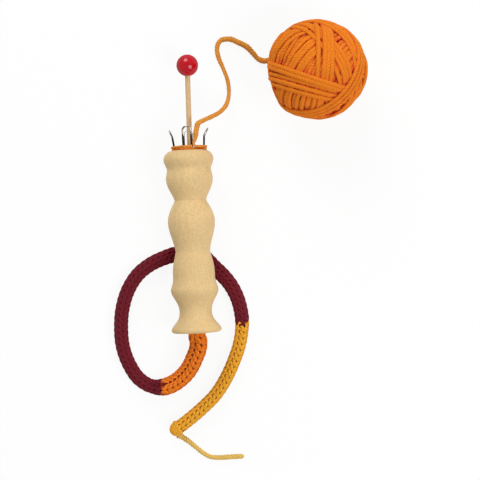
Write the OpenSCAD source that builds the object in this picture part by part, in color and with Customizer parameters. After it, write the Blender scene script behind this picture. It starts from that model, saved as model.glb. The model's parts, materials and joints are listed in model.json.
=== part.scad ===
// Knitting fork: a turned wooden spool with four wire hooks round its bore, a needle with a
// round head standing in the bore, the knitted cord coming out of the foot, and its ball of wool.
// The fork lies on its side: X to the right, Y along the spool towards the hooks, Z up.
// Origin on the surface it lies on, half way along the fork. Lengths are in millimetres.

/* [Turned spool] */
// Diameter of the bead round the top
top_bead_d = 30; // [27:0.5:34]
// Diameter of the flange at the foot
foot_d = 30; // [27:0.5:34]
// Diameter of the flat foot face
foot_face_d = 26; // [19:0.5:29]
// Diameter of the neck above the foot
foot_neck_d = 19.4; // [17:0.2:22]
// Diameter of the lower bulge
lower_bulge_d = 28.6; // [26:0.1:29.8]
// Diameter of the bell between the lower bulge and the waist
bell_d = 25.2; // [23:0.2:26]
// Diameter of the waist
waist_d = 20.8; // [19:0.2:23]
// Diameter of the middle bulge
middle_bulge_d = 28.3; // [26:0.1:29.8]
// Diameter of the upper neck
upper_neck_d = 19; // [17:0.2:22]
// Diameter of the upper bulge
upper_bulge_d = 28.2; // [27:0.1:29.8]
// Diameter at the collar groove under the top bead
groove_d = 26.4; // [25:0.2:28]
// Diameter of the flat top round the mouth
top_face_d = 18.8; // [17:0.2:25]
// Height of the rounded edge of the foot
foot_edge_h = 1.5; // [1:0.1:4]
// Rise from the flange to the foot neck
foot_neck_rise = 11; // [8:0.1:13]
// Rise from the foot neck to the lower bulge
lower_bulge_rise = 12.9; // [10:0.1:17]
// Rise from the lower bulge to the bell
bell_rise = 9.8; // [7:0.2:12]
// Rise from the bell to the waist
waist_rise = 13; // [10:0.2:16]
// Rise from the waist to the middle bulge
middle_bulge_rise = 18; // [14:0.5:22]
// Rise from the middle bulge to the upper neck
upper_neck_rise = 13; // [9:0.2:16]
// Rise from the upper neck to the upper bulge
upper_bulge_rise = 13; // [9:0.2:16]
// Rise from the upper bulge to the collar groove
groove_rise = 5.6; // [4:0.2:8]
// Rise from the collar groove to the top bead
top_bead_rise = 6; // [4:0.2:8]
// Rise of the rounded shoulder above the top bead
shoulder_rise = 5.4; // [4:0.2:8]
// Diameter of the bore down the middle
bore_d = 11; // [10.6:0.1:12]
// Depth of the eased edge at both mouths of the bore
mouth_ease = 0.8; // [0.3:0.1:1.2]

/* [Wire hooks] */
// Diameter of the steel wire
wire_d = 1.05; // [0.8:0.05:1.3]
// Width of a hook between the middles of its legs
hook_w = 4.9; // [4.2:0.1:5.4]
// Distance from the middle of the bore: front, right, back and left hook
hook_rs = [8.2, 9.6, 8.2, 7.9]; // [7.8:0.1:9.8]
// Depth of the legs in the wood
hook_depth = 9; // [6:0.5:14]
// Length of the straight legs above the wood: front, right, back and left hook
hook_straights = [9.1, 7.4, 8.2, 7.8]; // [4.6:0.1:10]
// Radius at which the legs are bent outwards
hook_bend_r = 5; // [3:0.5:8]
// Straight length between the bend and the rounded top
hook_tip_l = 1; // [0.5:0.1:3]
// Outward lean of the legs: front, right, back and left hook, in degrees
hook_leans = [4, 3, 4, 8]; // [0:1:9]
// Further outward bend of the tops: front, right, back and left hook, in degrees
hook_bends = [16, 27, 18, 14]; // [5:1:30]
// Clearance round a leg in its hole
hook_clear = 0.05; // [0.02:0.01:0.1]
// Spare depth of a hole under its leg
hole_spare = 0.3; // [0.1:0.1:1]

/* [Needle] */
// Diameter of the wooden stick
stick_d = 3.1; // [2.8:0.1:3.6]
// Length of stick that shows between the mouth and the head
stick_shown = 44.5; // [42:0.5:70]
// Length of stick inside the bore
stick_inside = 40; // [20:1:60]
// Length of the tapered tip
tip_taper_l = 7; // [4:0.5:12]
// Diameter of the rounded tip
tip_d = 1.6; // [1:0.1:2.4]
// Diameter of the round head
head_d = 13; // [9:0.5:15]
// Depth of the stick in the head
head_socket = 7.5; // [4:0.5:8.5]
// Clearance of the stick in the head
head_clear = 0.03; // [0.01:0.01:0.08]
// Sideways place of the stick at the mouth
needle_side = 1.1; // [0:0.1:1.2]
// Sideways lean of the needle in degrees
needle_lean = 1; // [0:0.1:1.6]

/* [Yarn and knitting] */
// Diameter of the drawn yarn in the stitches on the hooks
stitch_yarn_d = 1.1; // [1:0.1:1.8]
// Diameter of the yarn laid round the hooks
wrap_yarn_d = 1.2; // [1:0.1:2.2]
// Diameter of the loose yarn between the fork and the ball
working_yarn_d = 3; // [1.8:0.1:3.2]
// Diameter of the yarn end left on the finished cord
tail_yarn_d = 2.8; // [1.8:0.1:3]
// Clearance between the yarn and what it lies against
yarn_clear = 0.12; // [0.05:0.01:0.2]
// Outside diameter of the knitted cord in the bore
cord_bore_d = 10.2; // [9:0.1:10.4]
// Diameter of the hollow inside that cord, where the needle goes
cord_hollow_d = 6.4; // [6.2:0.1:6.8]
// Depth of the knitted cord's upper end below the mouth
cord_sink = 2; // [1.5:0.1:4]
// Diameter of the orange stretch of knitted cord
orange_d = 10.5; // [8:0.1:11]
// Diameter of the burgundy stretch of knitted cord
burgundy_d = 8.4; // [7:0.1:9]
// Diameter of the yellow stretch of knitted cord
yellow_d = 7.9; // [6:0.1:9]
// Length of the rounded end of the knitted cord
cord_end_l = 6.4; // [3:0.1:8]
// Diameter of the rounded end of the knitted cord
cord_end_d = 10; // [7:0.1:11]

/* [Ball of wool] */
// Diameter of the ball
ball_d = 59; // [54:1:64]
// Diameter of the wound yarn
ball_yarn_d = 2.4; // [1.8:0.1:2.5]
// Bands of turns, each wound over another
band_count = 3; // [2:1:3]
// Turns in each band
band_turns = 7.9; // [6:0.1:8]
// Step between neighbouring turns in degrees
turn_step = 8; // [7.8:0.1:8.4]
// Gap between one band and the next
band_gap = 0.9; // [0.85:0.05:1.1]
// Gap between the innermost band and the core
core_gap = 0.15; // [0.1:0.05:0.4]
// Gap between the ball and the end of the loose yarn
ball_clear = 0.3; // [0.2:0.1:0.6]

/* [Hidden] */
$fn = 64;

// Turning stations from the foot upwards: rise from the last one, diameter, fullness of the flank
stations = [
    [foot_edge_h, foot_d, 1],
    [foot_neck_rise, foot_neck_d, 1.4],
    [lower_bulge_rise, lower_bulge_d, 1.25],
    [bell_rise, bell_d, 1.8],
    [waist_rise, waist_d, 0.65],
    [middle_bulge_rise, middle_bulge_d, 0.95],
    [upper_neck_rise, upper_neck_d, 0.65],
    [upper_bulge_rise, upper_bulge_d, 0.8],
    [groove_rise, groove_d, 0.9],
    [top_bead_rise, top_bead_d, 0.9]];
flank_steps = 7;
edge_steps = 6;
function station_height(i) = i < 0 ? 0 : stations[i][0] + station_height(i - 1);
top_bead_at = station_height(len(stations) - 1);
body_l = top_bead_at + shoulder_rise;

// The widest turning rests on the surface, and the fork is centred along Y
axis_h = max([for (s = stations) s[1]]) / 2;
head_at = stick_shown + head_d / 2;
foot_y = -(body_l + head_at * cos(needle_lean) + head_d / 2) / 2;

// Turn about the bore of each hook: front is up, away from the surface
hook_turns = [-90, 0, 90, 180];

// Route of the knitted cord: right of the bore, along from the foot, height, share of its thickness.
// Each colour carries on from the last point of the one before
orange_route = [
    [0, 0, axis_h, 1], [0, -1.4, axis_h, 1], [0.8, -5.6, axis_h - 0.2, 1], [0.2, -10, axis_h - 1, 1],
    [-2.2, -15.6, 12.2, 1], [-5.7, -22, 9.6, 1], [-11.3, -27.9, 7.3, 1], [-18.2, -31.9, 5.8, 1],
    [-24.3, -33, 5.25, 1]];
burgundy_route = [
    [-29.5, -32.1, 4.4, 1], [-36.2, -27.8, 4.2, 1], [-42.3, -18.2, 4.2, 1], [-45.7, -6.9, 4.2, 1],
    [-46.2, 3.7, 4.2, 1], [-44.4, 17.2, 4.2, 1], [-40.8, 26.9, 4.2, 1], [-33.8, 36.6, 4.2, 1],
    [-26.7, 41.7, 4, 0.95], [-18.2, 45.3, 3.4, 0.8], [-9, 47.5, 2.15, 0.5], [0, 47, 1.7, 0.4],
    [6.6, 43.9, 1.9, 0.44], [11.6, 38.6, 2.35, 0.55], [16.7, 33.4, 2.8, 0.66], [20.8, 28.2, 3.4, 0.8],
    [25, 19.7, 4, 0.95], [27.1, 10.6, 4.2, 1], [27.5, 3.8, 4.2, 1]];
yellow_route = [
    [26.7, -2.9, 4.1, 1], [24.9, -10.3, 4, 1], [21.4, -19.1, 4, 1], [16.5, -28.8, 4, 1],
    [9.2, -39.2, 4, 1], [-0.1, -47.7, 4, 1], [-8.9, -54.4, 4.4, 1], [-13.9, -57.8, 5, 1]];
cord_route = concat(orange_route, burgundy_route, yellow_route);
orange_end = len(orange_route) - 1;
burgundy_end = orange_end + len(burgundy_route);
yellow_end = burgundy_end + len(yellow_route);
tail_route = [
    [-14.9, -63, 2.6], [-13.2, -63.8, 1.7], [-9.8, -66.1, 1.4], [-4.1, -71, 1.4], [0.6, -75.1, 1.4],
    [5, -77.4, 1.4], [10.2, -77.9, 1.4], [17.4, -77.8, 1.4], [24.8, -77.8, 1.4]];
// How far a flattened cord spreads sideways for each share of thickness that it loses
flat_spread = 0.42;
cord_sides = 10;
yarn_sides = 8;
wire_sides = 12;
winding_sides = 6;

// Route of the loose yarn, the same way: right of the bore, along from the top, height
working_route = [
    [5.2, 8.2, axis_h + 8.5], [5.9, 12, axis_h + 8], [6.9, 15.2, axis_h + 7], [10.1, 17.1, axis_h + 5],
    [15.4, 19.7, axis_h + 0.5], [20.8, 23.1, 9.6], [23.9, 26.8, 6.2], [25.7, 31.7, 3.2], [26.2, 36.6, 1.7],
    [25.6, 42.8, 1.5], [23.2, 50.2, 1.5], [20.6, 57.6, 1.5], [20.2, 62.4, 1.5], [21.2, 65.4, 1.5],
    [23, 67.1, 1.5], [25.7, 67.6, 1.5], [28.7, 67.4, 1.5], [33.1, 65.3, 1.5], [38.2, 62.4, 1.5],
    [41.9, 58.3, 1.5], [44.9, 54.7, 1.6], [48.3, 53.1, 2], [51.6, 53.3, 3.2], [55, 54.1, 5.2]];

// Middle of the ball, the same way, and the place and direction in which the loose yarn reaches it
ball_at = [78.6, 42.95];
yarn_in_dir = unit([-0.64, 0.36, -0.68]);

// Small vector and tube functions
function unit(v) = v / norm(v);
function squared(v, t) = unit(v - (v * t) * t);
function tangents(p) =
    [for (i = [0 : len(p) - 1]) unit(p[min(i + 1, len(p) - 1)] - p[max(i - 1, 0)])];
function carried(t, first) =
    [for (i = 0, s = squared(first, t[0]); i < len(t); i = i + 1, s = squared(s, t[min(i, len(t) - 1)])) s];
function ring(p, side, up, sides, wide, high) =
    [for (k = [0 : sides - 1]) p + wide * cos(360 * k / sides) * side + high * sin(360 * k / sides) * up];
function mirrored(p) = [for (k = [len(p) - 1 : -1 : 0]) [p[k][0], -p[k][1], p[k][2]]];
function wall(i, sides) =
    [for (k = [0 : sides - 1]) let (a = i * sides + k, b = i * sides + (k + 1) % sides)
        each [[a, b + sides, b], [a, a + sides, b + sides]]];

// Closed tube through rings: middles, directions along and to the side, half widths, half heights
module tube(points, along, across, wides, highs, sides) {
    last = (len(points) - 1) * sides;
    polyhedron(
        points = [for (i = [0 : len(points) - 1])
            each ring(points[i], across[i], cross(along[i], across[i]), sides, wides[i], highs[i])],
        faces = concat(
            [for (i = [0 : len(points) - 2]) each wall(i, sides)],
            [for (k = [1 : sides - 2]) [0, k, k + 1]],
            [for (k = [1 : sides - 2]) [last, last + k + 1, last + k]]));
}

// Round tube of one diameter, for yarn and for wire
module yarn(points, d, sides, first_side) {
    along = tangents(points);
    r = [for (p = points) d / 2];
    tube(points, along, carried(along, first_side), r, r, sides);
}

// Stretch of the knitted cord: where it is squeezed it gets thinner and spreads sideways
cord_points = [for (p = cord_route) [p[0], foot_y + p[1], p[2]]];
cord_along = tangents(cord_points);
cord_across = [for (t = cord_along) unit(cross(t, [0, 0, 1]))];
module knitted(from, to, d) {
    stretch = [from : to];
    tube(
        [for (i = stretch) cord_points[i]],
        [for (i = stretch) cord_along[i]],
        [for (i = stretch) cord_across[i]],
        [for (i = stretch) d / 2 * (1 + flat_spread * (1 - cord_route[i][3]))],
        [for (i = stretch) d / 2 * cord_route[i][3]],
        cord_sides);
}

// Frame of the spool: Z up its axis from the foot, minus Y to the front
module on_axis() {
    translate([0, foot_y, axis_h]) rotate([-90, 0, 0]) children();
}

// Frame of one hook: X outwards, Z up its leaning legs
module on_hook(i) {
    rotate([0, 0, hook_turns[i]]) translate([hook_rs[i], 0, body_l]) rotate([0, hook_leans[i], 0])
        children();
}

// Outline of the spool from the foot face to the top face
function eased(u) = u * u * (3 - 2 * u);
function flank_r(i, u) = let (
    r0 = stations[i - 1][1] / 2,
    r1 = stations[i][1] / 2,
    full = stations[i][2],
    rise = r1 > r0 ? eased(pow(u, full)) : 1 - eased(pow(1 - u, full)))
    r0 + (r1 - r0) * rise;
foot_edge = [for (k = [0 : edge_steps - 1]) let (a = 90 * k / edge_steps)
    [(foot_face_d + (foot_d - foot_face_d) * sin(a)) / 2, foot_edge_h * (1 - cos(a))]];
flanks = [for (i = [1 : len(stations) - 1]) for (k = [0 : flank_steps - 1]) let (u = k / flank_steps)
    [flank_r(i, u), station_height(i - 1) + u * stations[i][0]]];
shoulder = [for (k = [0 : edge_steps]) let (a = 90 * k / edge_steps)
    [(top_face_d + (top_bead_d - top_face_d) * cos(a)) / 2, top_bead_at + shoulder_rise * sin(a)]];

eased_d = bore_d + 4 * mouth_ease;
// How far a cut runs on past the face that it opens
cut_over = 1;
module turned_spool() {
    color("burlywood") on_axis() difference() {
        rotate_extrude() polygon(concat([[0, 0]], foot_edge, flanks, shoulder, [[0, body_l]]));
        translate([0, 0, -cut_over]) cylinder(d = bore_d, h = body_l + 2 * cut_over);
        translate([0, 0, -mouth_ease]) cylinder(d1 = eased_d, d2 = bore_d, h = 2 * mouth_ease);
        translate([0, 0, body_l - mouth_ease]) cylinder(d1 = bore_d, d2 = eased_d, h = 2 * mouth_ease);
        for (i = [0 : 3]) on_hook(i) for (side = [-1, 1])
            translate([0, side * hook_w / 2, -hook_depth - hole_spare])
                cylinder(d = wire_d + 2 * hook_clear, h = hook_depth + hole_spare + 2 * cut_over);
    }
}

// One wire hook: two legs bent outwards near the top and joined by a round top
bend_steps = 4;
crown_steps = 5;
function hook_half(bend, straight) = concat(
    [[0, hook_w / 2, -hook_depth]],
    [for (k = [0 : bend_steps]) let (a = bend * k / bend_steps)
        [hook_bend_r * (1 - cos(a)), hook_w / 2, straight + hook_bend_r * sin(a)]],
    [for (k = [0 : crown_steps - 1]) let (a = 90 * k / crown_steps, up = hook_tip_l + hook_w / 2 * sin(a))
        [hook_bend_r * (1 - cos(bend)) + up * sin(bend), hook_w / 2 * cos(a),
            straight + hook_bend_r * sin(bend) + up * cos(bend)]]);
function hook_crown(bend, straight) = let (up = hook_tip_l + hook_w / 2) [
    hook_bend_r * (1 - cos(bend)) + up * sin(bend), 0,
    straight + hook_bend_r * sin(bend) + up * cos(bend)];
module hook(i) {
    half = hook_half(hook_bends[i], hook_straights[i]);
    crown = hook_crown(hook_bends[i], hook_straights[i]);
    color("silver") on_axis() on_hook(i)
        yarn(concat(half, [crown], mirrored(half)), wire_d, wire_sides, [1, 0, 0]);
}
module hook_front() { hook(0); }
module hook_right() { hook(1); }
module hook_back() { hook(2); }
module hook_left() { hook(3); }

// Frame of the needle: Z along it, from the mouth of the bore to its head
module on_needle() {
    on_axis() translate([needle_side, 0, body_l]) rotate([0, needle_lean, 0]) children();
}

module needle_stick() {
    color("tan") on_needle() {
        translate([0, 0, tip_taper_l - stick_inside])
            cylinder(d = stick_d, h = stick_inside - tip_taper_l + stick_shown + head_socket);
        translate([0, 0, tip_d / 2 - stick_inside])
            cylinder(d1 = tip_d, d2 = stick_d, h = tip_taper_l - tip_d / 2);
        translate([0, 0, tip_d / 2 - stick_inside]) sphere(d = tip_d);
    }
}

module needle_head() {
    color("crimson") on_needle() difference() {
        translate([0, 0, head_at]) sphere(d = head_d);
        translate([0, 0, stick_shown - cut_over])
            cylinder(d = stick_d + 2 * head_clear, h = head_socket + cut_over + head_clear);
    }
}

// Stitches: each comes up out of the knitted cord, passes round the outside of its hook and goes back
stitch_lie = stitch_yarn_d / 2 + yarn_clear;
well_r = (cord_bore_d + cord_hollow_d) / 4;
well_side = 1.5;
stitch_side = hook_w / 2 + wire_d / 2 + stitch_lie;
function stitch_out(i) = hook_rs[i] + wire_d / 2 + stitch_lie;
function lean_out(i, h) = h * tan(hook_leans[i]);
function stitch_half(i) = [
    [well_r, well_side, -cord_sink],
    [well_r, well_side, -cord_sink / 3],
    [well_r + 0.5, well_side + 0.3, stitch_lie],
    [(well_r + hook_rs[i]) / 2 - 0.3, (well_side + stitch_side) / 2 + 0.2, stitch_lie + 0.3],
    [hook_rs[i] - 0.6, stitch_side + 0.05, stitch_lie],
    [hook_rs[i] + 0.9 + lean_out(i, stitch_lie), stitch_side - 0.15, stitch_lie],
    [stitch_out(i) - 0.1 + lean_out(i, stitch_lie), hook_w / 2 + 0.5, stitch_lie],
    [stitch_out(i) + 0.05 + lean_out(i, stitch_lie), hook_w / 4, stitch_lie]];
module stitch(i) {
    half = stitch_half(i);
    color("darkorange") on_axis() translate([0, 0, body_l]) rotate([0, 0, hook_turns[i]])
        yarn(concat(half, mirrored(half)), stitch_yarn_d, yarn_sides, [0, 1, 0]);
}
module stitch_front() { stitch(0); }
module stitch_right() { stitch(1); }
module stitch_back() { stitch(2); }
module stitch_left() { stitch(3); }

// Yarn laid once round the outside of the hooks, over the stitches, then turned up beside the front hook
wrap_lie = stitch_lie + stitch_yarn_d / 2 + yarn_clear + wrap_yarn_d / 2;
wrap_r = wire_d / 2 + wrap_yarn_d / 2 + yarn_clear;
wrap_order = [0, 3, 2, 1];
leg_angles = [45, 22.5, 0];
function turned(p, a) = [p[0] * cos(a) - p[1] * sin(a), p[0] * sin(a) + p[1] * cos(a), p[2]];
function round_leg(i, side, angles) = [for (a = angles) turned([
    hook_rs[i] + lean_out(i, wrap_lie) + wrap_r * cos(a),
    side * hook_w / 2 + wrap_r * sin(a), wrap_lie], hook_turns[i])];
wrap_round = [for (k = [0 : 3]) each concat(
    round_leg(wrap_order[k], 1, k == 0 ? [22.5, 0] : leg_angles),
    round_leg(wrap_order[k], -1, [for (a = leg_angles) a - 45]))];
wrap_rise = [
    [6.4, -6.7, wrap_lie], [5, -7.9, wrap_lie + 0.1], [4.1, -8.5, wrap_lie + 0.5],
    [3.8, -8.7, wrap_lie + 1.6]];
// It runs straight into the loose yarn
wrap_run = 2.4;
function from_top(p) = [p[0], axis_h - p[2], p[1]];
wrap_end = from_top(working_route[0]);
wrap_out = unit(from_top(working_route[1]) - wrap_end);
module hook_wrap() {
    points = concat(wrap_round, wrap_rise, [wrap_end - wrap_run * wrap_out, wrap_end]);
    color("darkorange") on_axis() translate([0, 0, body_l])
        yarn(points, wrap_yarn_d, yarn_sides, [0, 0, 1]);
}

module cord_in_bore() {
    color("darkorange") on_axis() difference() {
        cylinder(d = cord_bore_d, h = body_l - cord_sink);
        translate([0, 0, -cut_over]) cylinder(d = cord_hollow_d, h = body_l + 2 * cut_over);
    }
}

module cord_orange() { color("darkorange") knitted(0, orange_end, orange_d); }
module cord_burgundy() { color("brown") knitted(orange_end, burgundy_end, burgundy_d); }
module cord_yellow() { color("gold") knitted(burgundy_end, yellow_end, yellow_d); }

// Rounded end of the finished cord, carrying on the way that the cord lies
end_steps = 5;
end_angles = [for (k = [0 : end_steps]) 86 * k / end_steps];
module cord_end() {
    along = cord_along[yellow_end];
    radii = [for (a = end_angles) cord_end_d / 2 * cos(a)];
    color("gold") tube(
        [for (a = end_angles) cord_points[yellow_end] + cord_end_l * sin(a) * along],
        [for (a = end_angles) along],
        [for (a = end_angles) cord_across[yellow_end]],
        radii, radii, cord_sides);
}

module yarn_tail() {
    color("gold") yarn([for (p = tail_route) p + [0, foot_y, 0]], tail_yarn_d, yarn_sides, [1, 0, 0]);
}

// The loose yarn ends square to the ball, just clear of it
ball_middle = [ball_at[0], foot_y + body_l + ball_at[1], ball_d / 2];
yarn_in = [for (reach = [4.4, 0]) ball_middle + (ball_d / 2 + ball_clear + reach) * yarn_in_dir];
module working_yarn() {
    color("orange") yarn(
        concat([for (p = working_route) p + [0, foot_y + body_l, 0]], yarn_in),
        working_yarn_d, yarn_sides, [1, 0, 0]);
}

// Ball, followed from its outer end inwards: bands of turns spiral from one side of a great circle to
// the other, each about an axis swung so that the yarn runs on without a kink. A band dips under the
// bands before it where they cross, and comes up to the surface beside them
rings_a_turn = 24;
band_rings = round(band_turns * rings_a_turn);
band_half = turn_step * band_turns / 2;
level_step = ball_yarn_d + band_gap;
climb_angle = 24;
dip_ramp = 22;
outer_r = (ball_d - ball_yarn_d) / 2;
core_r = (outer_r - (band_count - 1) * level_step) * cos(180 / rings_a_turn) - ball_yarn_d / 2 - core_gap;
end_turn = 360 * band_turns;
function on_band(frame, turn, lift) =
    cos(lift) * (cos(turn) * frame[1] + sin(turn) * cross(frame[0], frame[1])) + sin(lift) * frame[0];
function next_frame(frame) = let (
    p = on_band(frame, end_turn, band_half),
    along = cos(end_turn) * cross(frame[0], frame[1]) - sin(end_turn) * frame[1],
    axis = cos(band_half) * cross(p, along) - sin(band_half) * p)
    [axis, (p + sin(band_half) * axis) / cos(band_half)];
first_axis = -unit([0.32, 0.94, 0.1]);
first_frame = [first_axis, squared([-0.67, 0.23, -0.7], first_axis)];
function frames_from(frame, count) =
    count == 0 ? [] : concat([frame], frames_from(next_frame(frame), count - 1));
frames = frames_from(first_frame, band_count);
function clamped(u) = eased(max(0, min(1, u)));
function covered(k, p) = k == 0 ? 0 : covered(k - 1, p)
    + 1 - clamped((abs(asin(p * frames[k - 1][0])) - band_half) / dip_ramp);
function climbed(k, turn) =
    (k < band_count - 1 ? clamped((turn - end_turn) / climb_angle + 0.5) : 0)
    - (k > 0 ? 1 - clamped(turn / climb_angle + 0.5) : 0);
turns = [for (k = [0 : band_count - 1]) for (i = [k == 0 ? 0 : 1 : band_rings]) let (
    f = i / band_rings,
    p = on_band(frames[k], f * end_turn, (2 * f - 1) * band_half))
    (outer_r - (covered(k, p) + climbed(k, f * end_turn)) * level_step) * p];
last_turn = len(turns) - 1;
function run_out(a, b, c) = a + ball_yarn_d * unit(3 * a - 4 * b + c);
wound = concat(
    [run_out(turns[0], turns[1], turns[2])], turns,
    [run_out(turns[last_turn], turns[last_turn - 1], turns[last_turn - 2])]);

// Least gap of the wound yarn to itself, from each point to every stretch half a turn away or more
function to_stretch(p, a, b) = let (t = max(0, min(1, (p - a) * (b - a) / ((b - a) * (b - a)))))
    norm(p - a - t * (b - a));
function least_gap(p) = min([for (i = [0 : len(p) - 1 - rings_a_turn / 2])
    for (j = [i + rings_a_turn / 2 : len(p) - 2]) to_stretch(p[i], p[j], p[j + 1])]) - ball_yarn_d;

module ball_core() {
    color("chocolate") translate(ball_middle) sphere(r = core_r);
}

module ball_winding() {
    echo(least_gap_of_winding = least_gap(wound));
    color("orange") translate(ball_middle) yarn(wound, ball_yarn_d, winding_sides, first_axis);
}

turned_spool();
hook_front();
hook_right();
hook_back();
hook_left();
needle_stick();
needle_head();
stitch_front();
stitch_right();
stitch_back();
stitch_left();
hook_wrap();
cord_in_bore();
cord_orange();
cord_burgundy();
cord_yellow();
cord_end();
yarn_tail();
working_yarn();
ball_core();
ball_winding();
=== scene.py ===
"""Looks of a knitting fork that lies with its needle, its knitted cord and its ball of wool.

Everything is in metres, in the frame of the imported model: X to the right, Y along the spool towards
its hooks, Z up from the surface that the fork lies on.
"""

import json

import bpy
import numpy as np
from bpy.props import FloatProperty, FloatVectorProperty, IntProperty, PointerProperty
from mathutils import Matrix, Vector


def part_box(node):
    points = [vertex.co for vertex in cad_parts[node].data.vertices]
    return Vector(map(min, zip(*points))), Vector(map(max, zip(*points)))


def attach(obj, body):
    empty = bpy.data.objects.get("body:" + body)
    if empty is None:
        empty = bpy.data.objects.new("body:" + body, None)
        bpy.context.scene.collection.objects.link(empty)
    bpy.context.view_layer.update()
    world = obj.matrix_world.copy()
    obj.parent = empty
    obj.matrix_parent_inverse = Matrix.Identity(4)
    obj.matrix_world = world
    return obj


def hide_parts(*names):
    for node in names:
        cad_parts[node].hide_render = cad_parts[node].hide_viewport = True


bl_info = {
    "name": "Knitting fork",
    "version": (1, 0, 0),
    "blender": (4, 5, 0),
    "location": "View3D > Sidebar > Knitting fork",
    "description": "Turned knitting spool with its hooks, needle, knitted cord and ball of wool",
    "category": "Add Mesh",
}

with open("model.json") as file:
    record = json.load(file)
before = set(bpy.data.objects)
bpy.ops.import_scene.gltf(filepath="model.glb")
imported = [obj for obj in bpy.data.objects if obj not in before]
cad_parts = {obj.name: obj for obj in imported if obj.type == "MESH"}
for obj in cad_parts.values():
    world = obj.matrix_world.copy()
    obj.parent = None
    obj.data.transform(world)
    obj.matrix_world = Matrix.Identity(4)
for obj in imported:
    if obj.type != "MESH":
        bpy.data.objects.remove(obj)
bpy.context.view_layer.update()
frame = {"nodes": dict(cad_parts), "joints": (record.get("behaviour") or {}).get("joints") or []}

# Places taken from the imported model
spool_low, spool_high = (np.array(corner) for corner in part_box("turned_spool"))
FOOT_Y = spool_low[1]
TOP_Y = spool_high[1]
AXIS_H = (spool_low[2] + spool_high[2]) / 2
joints = {joint["name"]: joint for joint in frame["joints"]}
BALL_MIDDLE = np.array(joints["ball_turn"]["pos_m"])
NEEDLE_ALONG = np.array(joints["needle_slide"]["axis"])
UP = np.array((0.0, 0.0, 1.0))

# Route of the knitted cord, as in the part's source: right of the bore, along from the foot, height,
# share of its thickness. The first points run down the bore, and each colour carries on from the last
BORE_ROUTE = [(0, 0.1072, AXIS_H, 1), (0, 0.07, AXIS_H, 1), (0, 0.03, AXIS_H, 1)]
ORANGE_ROUTE = [
    (0, 0, AXIS_H, 1), (0, -0.0014, AXIS_H, 1), (0.0008, -0.0056, 0.0148, 1), (0.0002, -0.01, 0.014, 1),
    (-0.0022, -0.0156, 0.0122, 1), (-0.0057, -0.022, 0.0096, 1), (-0.0113, -0.0279, 0.0073, 1),
    (-0.0182, -0.0319, 0.0058, 1), (-0.0243, -0.033, 0.00525, 1)]
BURGUNDY_ROUTE = [
    (-0.0295, -0.0321, 0.0044, 1), (-0.0362, -0.0278, 0.0042, 1), (-0.0423, -0.0182, 0.0042, 1),
    (-0.0457, -0.0069, 0.0042, 1), (-0.0462, 0.0037, 0.0042, 1), (-0.0444, 0.0172, 0.0042, 1),
    (-0.0408, 0.0269, 0.0042, 1), (-0.0338, 0.0366, 0.0042, 1), (-0.0267, 0.0417, 0.004, 0.95),
    (-0.0182, 0.0453, 0.0034, 0.8), (-0.009, 0.0475, 0.00215, 0.5), (0, 0.047, 0.0017, 0.4),
    (0.0066, 0.0439, 0.0019, 0.44), (0.0116, 0.0386, 0.00235, 0.55), (0.0167, 0.0334, 0.0028, 0.66),
    (0.0208, 0.0282, 0.0034, 0.8), (0.025, 0.0197, 0.004, 0.95), (0.0271, 0.0106, 0.0042, 1),
    (0.0275, 0.0038, 0.0042, 1)]
YELLOW_ROUTE = [
    (0.0267, -0.0029, 0.0041, 1), (0.0249, -0.0103, 0.004, 1), (0.0214, -0.0191, 0.004, 1),
    (0.0165, -0.0288, 0.004, 1), (0.0092, -0.0392, 0.004, 1), (-0.0001, -0.0477, 0.004, 1),
    (-0.0089, -0.0544, 0.0044, 1), (-0.0139, -0.0578, 0.005, 1)]
# Route of the yarn end on the cord, the same way
TAIL_ROUTE = [
    (-0.0149, -0.063, 0.0026), (-0.0132, -0.0638, 0.0017), (-0.0098, -0.0661, 0.0014),
    (-0.0041, -0.071, 0.0014), (0.0006, -0.0751, 0.0014), (0.005, -0.0774, 0.0014),
    (0.0102, -0.0779, 0.0014), (0.0174, -0.0778, 0.0014), (0.0248, -0.0778, 0.0014)]
# Route of the loose yarn: right of the bore, along from the top, height
WORKING_ROUTE = [
    (0.0052, 0.0082, 0.0235), (0.0059, 0.012, 0.023), (0.0069, 0.0152, 0.022), (0.0101, 0.0171, 0.02),
    (0.0154, 0.0197, 0.0155), (0.0208, 0.0231, 0.0096), (0.0239, 0.0268, 0.0062),
    (0.0257, 0.0317, 0.0032), (0.0262, 0.0366, 0.0017), (0.0256, 0.0428, 0.0015),
    (0.0232, 0.0502, 0.0015), (0.0206, 0.0576, 0.0015), (0.0202, 0.0624, 0.0015),
    (0.0212, 0.0654, 0.0015), (0.023, 0.0671, 0.0015), (0.0257, 0.0676, 0.0015),
    (0.0287, 0.0674, 0.0015), (0.0331, 0.0653, 0.0015), (0.0382, 0.0624, 0.0015),
    (0.0419, 0.0583, 0.0015), (0.0449, 0.0547, 0.0016), (0.0483, 0.0531, 0.002),
    (0.0516, 0.0533, 0.0032), (0.055, 0.0541, 0.0052)]
# Where the loose yarn reaches the ball, from the ball's middle
YARN_IN = np.array((-0.64, 0.36, -0.68))
YARN_IN_GAPS = (0.0047, 0.0003)

# Hooks in the spool's own frame: turn about the bore, outward lean and further outward bend, in degrees,
# then distance from the middle of the bore and length of the straight legs above the wood
HOOKS = {
    "front": (-90, 4, 16, 0.0082, 0.0091),
    "right": (0, 3, 27, 0.0096, 0.0074),
    "back": (90, 4, 18, 0.0082, 0.0082),
    "left": (180, 8, 14, 0.0079, 0.0078)}

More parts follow.
